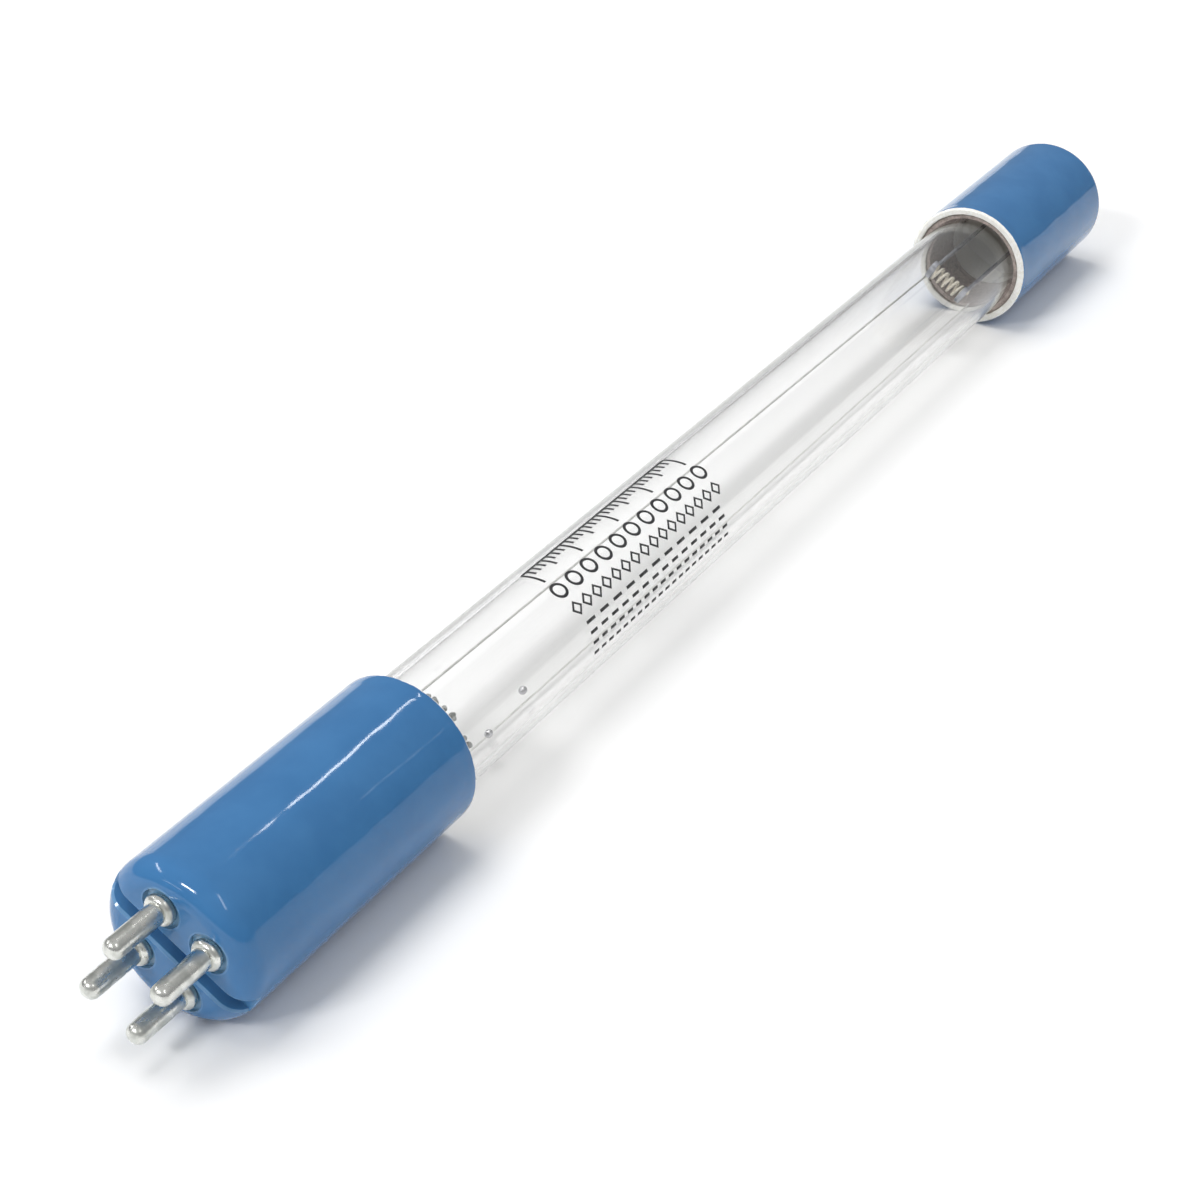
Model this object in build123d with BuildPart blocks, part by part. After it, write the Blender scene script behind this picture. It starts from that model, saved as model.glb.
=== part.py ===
from build123d import *
import math
import os

# Four-pin germicidal lamp: a quartz tube with a slotted ceramic base at one end and a plain
# ceramic cap at the other. It lies along X with the pins towards -X, on the two caps, at Z = 0.
# Lengths are in millimetres and angles in degrees.

# Quartz tube
tube_od = 15.4
tube_wall = 1.0
exposed_length = 151.4

# Press seals that close the tube inside the caps
base_seat = 11.0
end_seat = 10.0
press_taper = 5.0
press_length = 8.0
press_width = 13.6
press_thickness = 4.0
press_corner = 1.6
throat_depth = 4.4
throat_width = 9.0
throat_height = 1.4

# Ceramic base and end cap
cap_wall = 1.2
base_length = 39.0
base_floor = 7.0
base_edge_round = 2.8
end_cap_length = 33.4
end_cap_floor = 4.0
end_edge_round = 1.2
rim_bevel = 0.3
slot_width = 2.0
slot_depth = 2.0
slot_bevel = 0.25

# Contact pins, on a rectangle that straddles the slot
pin_diameter = 2.4
pin_length = 7.6
pin_tip_round = 0.95
pin_pitch_along = 6.35
pin_pitch_across = 7.92
pin_inner_reach = 1.0
pin_bore_depth = 6.0
pin_bore_clearance = 0.05
collar_diameter = 3.6
collar_bead = 1.3
collar_swell = 1.2
recess_diameter = 4.6
recess_depth = 0.5

# Cement rings between the tube and the caps
cement_gap = 0.6
cement_depth = 9.0
base_cement_recess = 0.1
end_cement_recess = 0.5

# Cathode coils, drawn with few sides because their wire is thin, and the wires that hold them
coil_length = 6.9
coil_pitch = 1.0
coil_mean_radius = 1.0
coil_wire = 0.5
coil_wire_sides = 4
end_coil_offset = 8.6
base_coil_depth = 4.0
support_wire = 0.6
clamp_length = 0.8
clamp_wall = 0.15
clamp_clearance = 0.03

# Molybdenum foils inside the press seals
foil_spacing = 6.0
foil_width = 2.4
foil_thickness = 0.1
foil_margin = 0.8
weld_overlap = 1.5

# Lead wires in the caps and return wires along the tube, drawn with few sides because they are thin
lead_wire = 0.4
wire_sides = 6
lead_bend = 1.0
wire_clearance = 0.1
lead_rise = 2.2
return_rise = 3.3
end_lead_rise = 3.0
wire_reach = 5.0
side_wire_angle_base = -13.0
side_wire_angle_end = -25.0
under_wire_angle = -96.5

# Mercury drops on the lower side of the bore
bead_diameter = 1.1
bead_clearance = 0.02
bead_1_from_base = 23.2
bead_1_angle = 0.0
bead_2_from_base = 13.5
bead_2_angle = -16.0

# Roll of the slot, the pins and the press seals about the axis of the tube
lamp_roll = 30.2

# Radii and the height of the axis above the surface the lamp lies on
tube_radius = tube_od / 2
bore_radius = tube_radius - tube_wall
cap_bore_radius = tube_radius + cement_gap
cap_radius = cap_bore_radius + cap_wall
pin_radius = pin_diameter / 2
lead_radius = lead_wire / 2
support_radius = support_wire / 2
clamp_bore_radius = coil_mean_radius + coil_wire / 2 + clamp_clearance
axis_height = cap_radius

# Stations along X, from the pin tips to the rim of the end cap and the ends of the tube
body_length = base_length + exposed_length + end_cap_length
pin_tip_x = -(body_length + pin_length) / 2
face_x = pin_tip_x + pin_length
base_floor_x = face_x + base_floor
base_rim_x = face_x + base_length
end_rim_x = base_rim_x + exposed_length

base_round_x = base_rim_x - base_seat
base_press_x = base_round_x - press_taper
base_tail_x = base_press_x - press_length
end_round_x = end_rim_x + end_seat
end_press_x = end_round_x + press_taper
end_tail_x = end_press_x + press_length

base_coil_x = base_rim_x - base_coil_depth
end_coil_x = end_rim_x - end_coil_offset
base_weld_x = base_press_x - foil_margin - weld_overlap
end_weld_x = end_press_x + foil_margin + weld_overlap
base_lead_weld_x = base_tail_x + foil_margin + weld_overlap
end_lead_weld_x = end_tail_x - foil_margin - weld_overlap
foil_length = press_length - 2 * foil_margin

# Offsets from the middle plane of a press seal to wires that lie on the foils
support_lift = foil_thickness / 2 + support_radius
lead_lift = foil_thickness / 2 + lead_radius
wire_track_radius = tube_radius + wire_clearance + lead_radius
half_spacing = foil_spacing / 2

os.makedirs("parts", exist_ok=True)


def section(x):
    """Plane across the tube at x, its local X along the slot and its normal along the tube."""
    roll = math.radians(lamp_roll)
    return Plane((x, 0, axis_height), x_dir=(0, math.cos(roll), math.sin(roll)), z_dir=(1, 0, 0))


def spot(x, along, across):
    """Point at x, placed along and across the slot direction."""
    return section(x).from_local_coords(Vector(along, across, 0))


def rim_point(x, radius, angle):
    """Point at x on a circle round the axis, at an angle up from the horizontal +Y side."""
    turn = math.radians(angle)
    return Vector(x, radius * math.cos(turn), axis_height + radius * math.sin(turn))


# Quartz tube: a round body with a flat press seal at each end
with BuildPart() as quartz_tube:
    with BuildSketch(section(base_round_x)):
        Circle(tube_radius)
    extrude(amount=end_round_x - base_round_x)
    for round_x, press_x in ((base_round_x, base_press_x), (end_round_x, end_press_x)):
        with BuildSketch(section(round_x)):
            Circle(tube_radius)
        with BuildSketch(section(press_x)):
            RectangleRounded(press_width, press_thickness, press_corner)
        loft()
    with BuildSketch(section(base_tail_x), section(end_press_x)):
        RectangleRounded(press_width, press_thickness, press_corner)
    extrude(amount=press_length)
    # Bore, with a throat that narrows into each seal
    with BuildSketch(section(base_round_x)):
        Circle(bore_radius)
    extrude(amount=end_round_x - base_round_x, mode=Mode.SUBTRACT)
    for round_x, throat_x in (
        (base_round_x, base_round_x - throat_depth),
        (end_round_x, end_round_x + throat_depth),
    ):
        with BuildSketch(section(round_x)):
            Circle(bore_radius)
        with BuildSketch(section(throat_x)):
            Ellipse(throat_width / 2, throat_height / 2)
        loft(mode=Mode.SUBTRACT)
    # Room for the foils and for the wires welded to them
    with BuildSketch(section(base_tail_x + foil_margin), section(end_press_x + foil_margin)):
        with GridLocations(foil_spacing, 0, 2, 1):
            Rectangle(foil_width, foil_thickness)
    extrude(amount=foil_length, mode=Mode.SUBTRACT)
    with BuildSketch(section(base_weld_x)):
        with Locations((-half_spacing, support_lift), (half_spacing, support_lift)):
            Circle(support_radius)
    extrude(amount=base_round_x - base_weld_x, mode=Mode.SUBTRACT)
    with BuildSketch(section(end_round_x)):
        with Locations((-half_spacing, support_lift), (half_spacing, support_lift)):
            Circle(support_radius)
    extrude(amount=end_weld_x - end_round_x, mode=Mode.SUBTRACT)
    with BuildSketch(section(base_tail_x)):
        with Locations((-half_spacing, lead_lift), (half_spacing, lead_lift)):
            Circle(lead_radius)
    extrude(amount=base_lead_weld_x - base_tail_x, mode=Mode.SUBTRACT)
    with BuildSketch(section(end_lead_weld_x)):
        with Locations((-half_spacing, lead_lift), (half_spacing, lead_lift)):
            Circle(lead_radius)
    extrude(amount=end_tail_x - end_lead_weld_x, mode=Mode.SUBTRACT)
quartz_tube.part.label = "quartz_tube"
export_step(quartz_tube.part, "parts/quartz_tube.step")

# Ceramic base: a cup over the tube, with a slotted end face and four recessed pin holes
with BuildPart() as pin_base:
    with BuildSketch(section(face_x)):
        Circle(cap_radius)
    extrude(amount=base_length)
    fillet(pin_base.edges().sort_by(Axis.X)[0], base_edge_round)
    with BuildSketch(section(base_floor_x)):
        Circle(cap_bore_radius)
    extrude(amount=base_length - base_floor, mode=Mode.SUBTRACT)
    chamfer(pin_base.edges().group_by(Axis.X)[-1], rim_bevel)
    with BuildSketch(section(face_x)):
        Rectangle(2 * cap_radius, slot_width)
    extrude(amount=slot_depth, mode=Mode.SUBTRACT)
    slot_walls = pin_base.faces().filter_by(Axis((face_x, 0, axis_height), section(face_x).y_dir))
    slot_lips = [edge for edge in slot_walls.edges() if edge.center().X < face_x + slot_depth / 2]
    chamfer(slot_lips, slot_bevel)
    with BuildSketch(section(face_x)):
        with GridLocations(pin_pitch_along, pin_pitch_across, 2, 2):
            Circle(recess_diameter / 2)
    extrude(amount=recess_depth, mode=Mode.SUBTRACT)
    with BuildSketch(section(face_x)):
        with GridLocations(pin_pitch_along, pin_pitch_across, 2, 2):
            Circle(pin_radius)
    extrude(amount=base_floor, mode=Mode.SUBTRACT)
pin_base.part.label = "pin_base"
export_step(pin_base.part, "parts/pin_base.step")

# End cap: a plain cup over the far end of the tube
with BuildPart() as end_cap:
    with BuildSketch(section(end_rim_x)):
        Circle(cap_radius)
    extrude(amount=end_cap_length)
    fillet(end_cap.edges().sort_by(Axis.X)[-1], end_edge_round)
    with BuildSketch(section(end_rim_x)):
        Circle(cap_bore_radius)
    extrude(amount=end_cap_length - end_cap_floor, mode=Mode.SUBTRACT)
    chamfer(end_cap.edges().group_by(Axis.X)[0], rim_bevel)
end_cap.part.label = "end_cap"
export_step(end_cap.part, "parts/end_cap.step")

# Contact pins: a round-tipped pin with a collar in its recess and a blind bore for its wire
pin_inner_x = base_floor_x + pin_inner_reach
collar_x = face_x + recess_depth - collar_bead / 2
pin_spots = (
    (pin_pitch_along / 2, pin_pitch_across / 2),
    (-pin_pitch_along / 2, pin_pitch_across / 2),
    (pin_pitch_along / 2, -pin_pitch_across / 2),
    (-pin_pitch_along / 2, -pin_pitch_across / 2),
)
for number, (along, across) in enumerate(pin_spots, start=1):
    pin_start = spot(pin_tip_x, along, across)
    with BuildPart() as contact_pin:
        with BuildSketch(Plane(pin_start, x_dir=(1, 0, 0), z_dir=section(face_x).y_dir)) as profile:
            Rectangle(pin_inner_x - pin_tip_x, pin_radius, align=(Align.MIN, Align.MIN))
            fillet(profile.vertices().group_by(Axis.X)[0].sort_by(Axis.Y)[-1], pin_tip_round)
            with Locations((collar_x - pin_tip_x, collar_diameter / 2 - collar_swell / 2)):
                Ellipse(collar_bead / 2, collar_swell / 2)
        revolve(axis=Axis(pin_start, (1, 0, 0)))
        with BuildSketch(section(pin_inner_x)):
            with Locations((along, across)):
                Circle(lead_radius + pin_bore_clearance)
        extrude(amount=-pin_bore_depth, mode=Mode.SUBTRACT)
    contact_pin.part.label = f"contact_pin_{number}"
    export_step(contact_pin.part, f"parts/contact_pin_{number}.step")

# Cathode coils, wound across the tube
coils = (("base_cathode", base_coil_x), ("end_cathode", end_coil_x))
for label, coil_x in coils:
    with BuildPart() as cathode:
        with BuildLine():
            turns = Helix(
                pitch=coil_pitch,
                height=coil_length,
                radius=coil_mean_radius,
                center=spot(coil_x, -coil_length / 2, support_lift),
                direction=section(coil_x).x_dir,
            )
        with BuildSketch(Plane(turns @ 0, z_dir=turns % 0)):
            RegularPolygon(coil_wire / 2, coil_wire_sides)
        sweep(is_frenet=True)
    cathode.part.label = label
    export_step(cathode.part, f"parts/{label}.step")

# Support wires, each with a clamp round one end of its coil
supports = (
    ("base_support_1", base_coil_x, base_weld_x, half_spacing),
    ("base_support_2", base_coil_x, base_weld_x, -half_spacing),
    ("end_support_1", end_coil_x, end_weld_x, half_spacing),
    ("end_support_2", end_coil_x, end_weld_x, -half_spacing),
)
for label, coil_x, weld_x, along in supports:
    clamp_plane = Plane(spot(coil_x, along, support_lift), z_dir=section(coil_x).x_dir)
    with BuildPart() as support:
        with BuildSketch(section(coil_x)):
            with Locations((along, support_lift)):
                Circle(support_radius)
        extrude(amount=weld_x - coil_x)
        with BuildSketch(clamp_plane):
            Circle(clamp_bore_radius + clamp_wall)
        extrude(amount=clamp_length / 2, both=True)
        with BuildSketch(clamp_plane):
            Circle(clamp_bore_radius)
        extrude(amount=clamp_length / 2, both=True, mode=Mode.SUBTRACT)
    support.part.label = label
    export_step(support.part, f"parts/{label}.step")

# Molybdenum foils in the press seals
foils = (
    ("base_foil_1", base_tail_x, half_spacing),
    ("base_foil_2", base_tail_x, -half_spacing),
    ("end_foil_1", end_press_x, half_spacing),
    ("end_foil_2", end_press_x, -half_spacing),
)
for label, seal_x, along in foils:
    with BuildPart() as foil:
        with BuildSketch(section(seal_x + foil_margin)):
            with Locations((along, 0)):
                Rectangle(foil_width, foil_thickness)
        extrude(amount=foil_length)
    foil.part.label = label
    export_step(foil.part, f"parts/{label}.step")

# Lead wires from the base seal to two pins on opposite corners
base_leads = (
    ("base_lead_1", half_spacing, pin_spots[0]),
    ("base_lead_2", -half_spacing, pin_spots[3]),
)
lead_x = base_tail_x - lead_rise
wire_end_x = pin_inner_x - wire_reach
for label, along, pin_spot in base_leads:
    with BuildPart() as lead:
        with BuildLine():
            route = FilletPolyline(
                spot(base_lead_weld_x, along, lead_lift),
                spot(lead_x, along, lead_lift),
                spot(lead_x, *pin_spot),
                spot(wire_end_x, *pin_spot),
                radius=lead_bend,
            )
        with BuildSketch(Plane(route @ 0, z_dir=route % 0)):
            RegularPolygon(lead_radius, wire_sides)
        sweep()
    lead.part.label = label
    export_step(lead.part, f"parts/{label}.step")

# Return wires from the end seal, back along the outside of the tube, to the other two pins
returns = (
    ("return_wire_1", half_spacing, side_wire_angle_end, side_wire_angle_base, pin_spots[2]),
    ("return_wire_2", -half_spacing, under_wire_angle, under_wire_angle, pin_spots[1]),
)
end_turn_x = end_tail_x + end_lead_rise
base_turn_x = base_floor_x + return_rise
return_wires = []
for label, along, end_angle, base_angle, pin_spot in returns:
    with BuildPart() as return_wire:
        with BuildLine():
            route = FilletPolyline(
                spot(end_lead_weld_x, along, lead_lift),
                spot(end_turn_x, along, lead_lift),
                rim_point(end_turn_x, wire_track_radius, end_angle),
                rim_point(base_turn_x, wire_track_radius, base_angle),
                spot(base_turn_x, *pin_spot),
                spot(wire_end_x, *pin_spot),
                radius=lead_bend,
            )
        with BuildSketch(Plane(route @ 0, z_dir=route % 0)):
            RegularPolygon(lead_radius, wire_sides)
        sweep()
    return_wire.part.label = label
    export_step(return_wire.part, f"parts/{label}.step")
    return_wires.append(return_wire.part)

# Cement rings in the rims of the base and the end cap, laid round the return wires
rings = (
    ("base_cement", base_rim_x - base_cement_recess, -cement_depth),
    ("end_cement", end_rim_x + end_cement_recess, cement_depth),
)
for label, ring_x, depth in rings:
    with BuildPart() as cement:
        with BuildSketch(section(ring_x)):
            Circle(cap_bore_radius)
            Circle(tube_radius, mode=Mode.SUBTRACT)
        extrude(amount=depth)
        add(return_wires, mode=Mode.SUBTRACT)
    cement.part.label = label
    export_step(cement.part, f"parts/{label}.step")

# Mercury drops that lie in the bore
bead_track = bore_radius - bead_diameter / 2 - bead_clearance
beads = ((bead_1_from_base, bead_1_angle), (bead_2_from_base, bead_2_angle))
with BuildPart() as mercury_beads:
    with Locations(
        *[rim_point(base_rim_x + reach, bead_track, angle - 90) for reach, angle in beads]
    ):
        Sphere(bead_diameter / 2)
mercury_beads.part.label = "mercury_beads"
export_step(mercury_beads.part, "parts/mercury_beads.step")
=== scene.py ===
"""Looks of a four-pin germicidal lamp: glazed caps, a clear quartz tube, plated pins and fine wires.

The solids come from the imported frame. This script dresses them, puts smoother meshes of the same form
in place of the tube and the two coils, and adds the thin print and the crumbs of cement.
"""
import logging
import math
import random
from dataclasses import dataclass, field
from enum import Enum
from functools import partial, reduce
from typing import Any, Callable, Sequence, Union

import bmesh
import bpy
from mathutils import Matrix, Vector, noise


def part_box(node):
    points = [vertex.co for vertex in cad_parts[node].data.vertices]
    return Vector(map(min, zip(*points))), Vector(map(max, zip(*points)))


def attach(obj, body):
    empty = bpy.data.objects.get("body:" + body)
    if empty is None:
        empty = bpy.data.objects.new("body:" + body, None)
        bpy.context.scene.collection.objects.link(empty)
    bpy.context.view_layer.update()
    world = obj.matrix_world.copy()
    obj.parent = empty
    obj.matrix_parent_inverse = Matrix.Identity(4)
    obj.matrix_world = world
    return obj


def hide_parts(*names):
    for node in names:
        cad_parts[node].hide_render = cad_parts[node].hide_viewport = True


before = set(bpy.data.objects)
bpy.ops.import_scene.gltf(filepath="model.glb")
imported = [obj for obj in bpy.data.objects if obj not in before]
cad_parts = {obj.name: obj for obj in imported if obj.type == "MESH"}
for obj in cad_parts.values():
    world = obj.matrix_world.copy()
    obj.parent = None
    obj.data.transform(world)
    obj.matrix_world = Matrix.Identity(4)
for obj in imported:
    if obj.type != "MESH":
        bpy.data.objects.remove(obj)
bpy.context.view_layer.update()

MM = 0.001
BODY = "root"
log = logging.getLogger("lamp")

Colour = tuple[float, float, float]
Span = tuple[float, float]
Section = Callable[[float], tuple[float, float]]
Station = tuple[float, Section]
Socket = bpy.types.NodeSocket
Feed = Union[float, Socket]
Source = Union[Feed, Colour]
Feeds = dict[Union[str, int], Source]


def tone(red: int, green: int, blue: int) -> Colour:
    """Turn a colour as a screen shows it into linear light.

    Args:
        red: Red from 0 to 255.
        green: Green from 0 to 255.
        blue: Blue from 0 to 255.

    Returns:
        The linear colour.
    """

    def straight(level: int) -> float:
        """Linear light of one level, by the sRGB curve."""
        share = level / 255
        return share / 12.92 if share <= 0.04045 else ((share + 0.055) / 1.055) ** 2.4

    return straight(red), straight(green), straight(blue)


class Blend(Enum):
    """What a Mix node blends: its data type, the numbers of its two inputs and of its output."""

    NUMBER = ("FLOAT", 2, 3, 0)
    COLOUR = ("RGBA", 6, 7, 2)


class NodeSheet:
    """A node tree with short calls that add nodes and join them."""

    def __init__(self, tree: bpy.types.NodeTree) -> None:
        """Keep the tree that the calls work on."""
        self.tree = tree

    def feed(self, source: Source, target: Socket) -> None:
        """Join a socket to an input, or set the input to a plain value.

        Args:
            source: A socket, a number or a colour.
            target: The input.
        """
        if isinstance(source, bpy.types.NodeSocket):
            self.tree.links.new(source, target)
        elif isinstance(source, tuple) and target.type == "RGBA":
            target.default_value = (*source, 1.0)
        else:
            target.default_value = source

    def fill(self, node: bpy.types.Node, feeds: Feeds) -> None:
        """Feed several inputs of a node, given by their names or numbers."""
        for key, source in feeds.items():
            self.feed(source, node.inputs[key])

    def node(self, kind: str, feeds: Union[Feeds, None] = None, **settings: Any) -> bpy.types.Node:
        """Add a node.

        Args:
            kind: Blender's name of the node type.
            feeds: What its inputs are fed with, by their names or numbers.
            settings: Properties to set on the node.

        Returns:
            The new node.
        """
        made = self.tree.nodes.new(kind)
        for name, value in settings.items():
            setattr(made, name, value)
        self.fill(made, feeds or {})
        return made

    def calc(self, operation: str, first: Feed, second: Feed = 0.0) -> Socket:
        """Work out one number from two, by one of the Math node's operations."""
        return self.node("ShaderNodeMath", {0: first, 1: second}, operation=operation).outputs[0]

    def times(self, first: Socket, *others: Feed) -> Socket:
        """Multiply numbers."""
        return reduce(partial(self.calc, "MULTIPLY"), others, first)

    def hypot(self, first: Feed, second: Feed) -> Socket:
        """Give the long side over two sides at a right angle."""
        squares = [self.calc("POWER", side, 2.0) for side in (first, second)]
        return self.calc("SQRT", self.calc("ADD", *squares))

    def split(self, vector: Socket) -> tuple[Socket, ...]:
        """Take a vector apart into its three numbers."""
        return tuple(self.node("ShaderNodeSeparateXYZ", {0: vector}).outputs)

    def span(self, value: Feed, low: float, high: float, base: float = 0.0) -> Socket:
        """Ease a number from 0 at low to 1 at high, both counted from a base. Low may be the larger."""
        feeds = {"Value": value, "From Min": base + low, "From Max": base + high}
        return self.node("ShaderNodeMapRange", feeds, interpolation_type="SMOOTHSTEP").outputs["Result"]

    def stretch(self, value: Feed, low: float, high: float) -> Socket:
        """Map a share from 0 to 1 onto the run from low to high."""
        feeds = {"Value": value, "To Min": low, "To Max": high}
        return self.node("ShaderNodeMapRange", feeds).outputs["Result"]

    def mix(self, share: Feed, first: Source, second: Source, kind: Blend = Blend.COLOUR) -> Socket:
        """Blend two colours or two numbers.

        Args:
            share: How much of the second one shows.
            first: The first one.
            second: The second one.
            kind: Which of the two is blended.

        Returns:
            The socket with the blend.
        """
        data_type, first_input, second_input, output = kind.value
        feeds = {0: share, first_input: first, second_input: second}
        return self.node("ShaderNodeMix", feeds, data_type=data_type).outputs[output]

    def place(self) -> Socket:
        """Give the point's place in the lamp's own frame, in metres."""
        return self.node("ShaderNodeTexCoord").outputs["Object"]

    def noise(self, vector: Socket, scale: Feed, detail: float = 3.0, rough: float = 0.55) -> Socket:
        """Give smooth noise near 0.5, its scale in waves for each metre, with finer layers over it."""
        feeds = {"Vector": vector, "Scale": scale, "Detail": detail, "Roughness": rough}
        return self.node("ShaderNodeTexNoise", feeds).outputs["Fac"]

    def bump(self, height: Socket, depth: float, normal: Union[Socket, None] = None) -> Socket:
        """Turn a height into a normal.

        Args:
            height: Height from 0 to 1.
            depth: Metres that a height of 1 stands for.
            normal: A normal that the bump adds to.

        Returns:
            The socket with the normal.
        """
        feeds = {"Strength": 1.0, "Distance": depth, "Height": height}
        if normal is not None:
            feeds["Normal"] = normal
        return self.node("ShaderNodeBump", feeds).outputs["Normal"]

    def group(self, tree: bpy.types.NodeTree, **values: Feed) -> bpy.types.Node:
        """Place a node group and feed its inputs."""
        return self.node("ShaderNodeGroup", values, node_tree=tree)


def new_group(
    name: str, inputs: dict[str, float], outputs: Sequence[str]
) -> tuple[NodeSheet, dict[str, Socket], bpy.types.Node]:
    """Start a shader node group whose sockets are numbers.

    Args:
        name: The group's name.
        inputs: Names of the inputs and their first values.
        outputs: Names of the outputs.

    Returns:
        The sheet of the group, its input sockets by name and its output node.
    """
    tree = bpy.data.node_groups.new(name, "ShaderNodeTree")
    for label, value in inputs.items():
        socket = tree.interface.new_socket(name=label, in_out="INPUT", socket_type="NodeSocketFloat")
        socket.default_value = value
    for label in outputs:
        tree.interface.new_socket(name=label, in_out="OUTPUT", socket_type="NodeSocketFloat")
    sheet = NodeSheet(tree)
    entry = sheet.node("NodeGroupInput")
    leave = sheet.node("NodeGroupOutput")
    return sheet, {label: entry.outputs[label] for label in inputs}, leave


class Effects:
    """Shader node groups that several finishes share, each built once."""

    CLOUD_SPAN: Span = (0.3, 0.7)
    FLECK_SPAN: Span = (0.56, 0.7)
    FLECK_DETAIL = 4.0
    FLECK_ROUGHNESS = 0.6
    LINE_STRETCH = (0.06, 1.0, 1.0)
    LINE_DETAIL = 2.0
    PATCH_SPAN: Span = (0.35, 0.7)

    def __init__(self, axis_height: float) -> None:
        """Build the groups.

        Args:
            axis_height: Height of the lamp's axis above the floor.
        """
        self.axis = self._axis_place(axis_height)
        self.mottle = self._mottle()
        self.scratches = self._scratches()
        self.grains = self._grains()

    @staticmethod
    def _axis_place(axis_height: float) -> bpy.types.NodeTree:
        """Group that gives a point's station along the axis and its distance from it.

        Args:
            axis_height: Height of the lamp's axis above the floor.

        Returns:
            The group.
        """
        sheet, _, leave = new_group("axis_place", {}, ("Along", "Radius"))
        along, side, height = sheet.split(sheet.place())
        lift = sheet.calc("SUBTRACT", height, axis_height)
        sheet.fill(leave, {"Along": along, "Radius": sheet.hypot(side, lift)})
        return sheet.tree

    def _mottle(self) -> bpy.types.NodeTree:
        """Group that gives soft clouds and finer flecks over them.

        Returns:
            The group.
        """
        sheet, given, leave = new_group("mottle", {"Cloud": 120.0, "Fleck": 1500.0}, ("Clouds", "Flecks"))
        spot = sheet.place()
        clouds = sheet.noise(spot, given["Cloud"])
        flecks = sheet.noise(spot, given["Fleck"], self.FLECK_DETAIL, self.FLECK_ROUGHNESS)
        clouds, flecks = sheet.span(clouds, *self.CLOUD_SPAN), sheet.span(flecks, *self.FLECK_SPAN)
        sheet.fill(leave, {"Clouds": clouds, "Flecks": flecks})
        return sheet.tree

    def _scratches(self) -> bpy.types.NodeTree:
        """Group that gives fine lines along the axis and dull patches, for drawn and handled metal.

        Returns:
            The group.
        """
        scales = {"Lines": 9000.0, "Patches": 700.0}
        sheet, given, leave = new_group("scratches", scales, ("Lines", "Patches"))
        spot = sheet.place()
        drawn = sheet.node("ShaderNodeMapping", {"Vector": spot, "Scale": self.LINE_STRETCH})
        lines = sheet.noise(drawn.outputs[0], given["Lines"], self.LINE_DETAIL)
        patches = sheet.noise(spot, given["Patches"])
        sheet.fill(leave, {"Lines": lines, "Patches": sheet.span(patches, *self.PATCH_SPAN)})
        return sheet.tree

    @staticmethod
    def _grains() -> bpy.types.NodeTree:
        """Group that gives rounded grains, for cement, bare ceramic and the coating of the coils.

        Returns:
            The group.
        """
        sheet, given, leave = new_group("grains", {"Size": 2500.0}, ("Height", "Tint"))
        cells = sheet.node("ShaderNodeTexVoronoi", {"Vector": sheet.place(), "Scale": given["Size"]})
        tint = sheet.node("ShaderNodeSeparateColor", {0: cells.outputs["Color"]})
        sheet.fill(leave, {"Height": cells.outputs["Distance"], "Tint": tint.outputs[0]})
        return sheet.tree


def new_material(name: str) -> tuple[bpy.types.Material, NodeSheet, bpy.types.Node]:
    """Start a material.

    Args:
        name: The material's name.

    Returns:
        The material, its sheet and its Principled shader.
    """
    made = bpy.data.materials.new(name)
    made.use_nodes = True
    sheet = NodeSheet(made.node_tree)
    return made, sheet, made.node_tree.nodes["Principled BSDF"]


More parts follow.
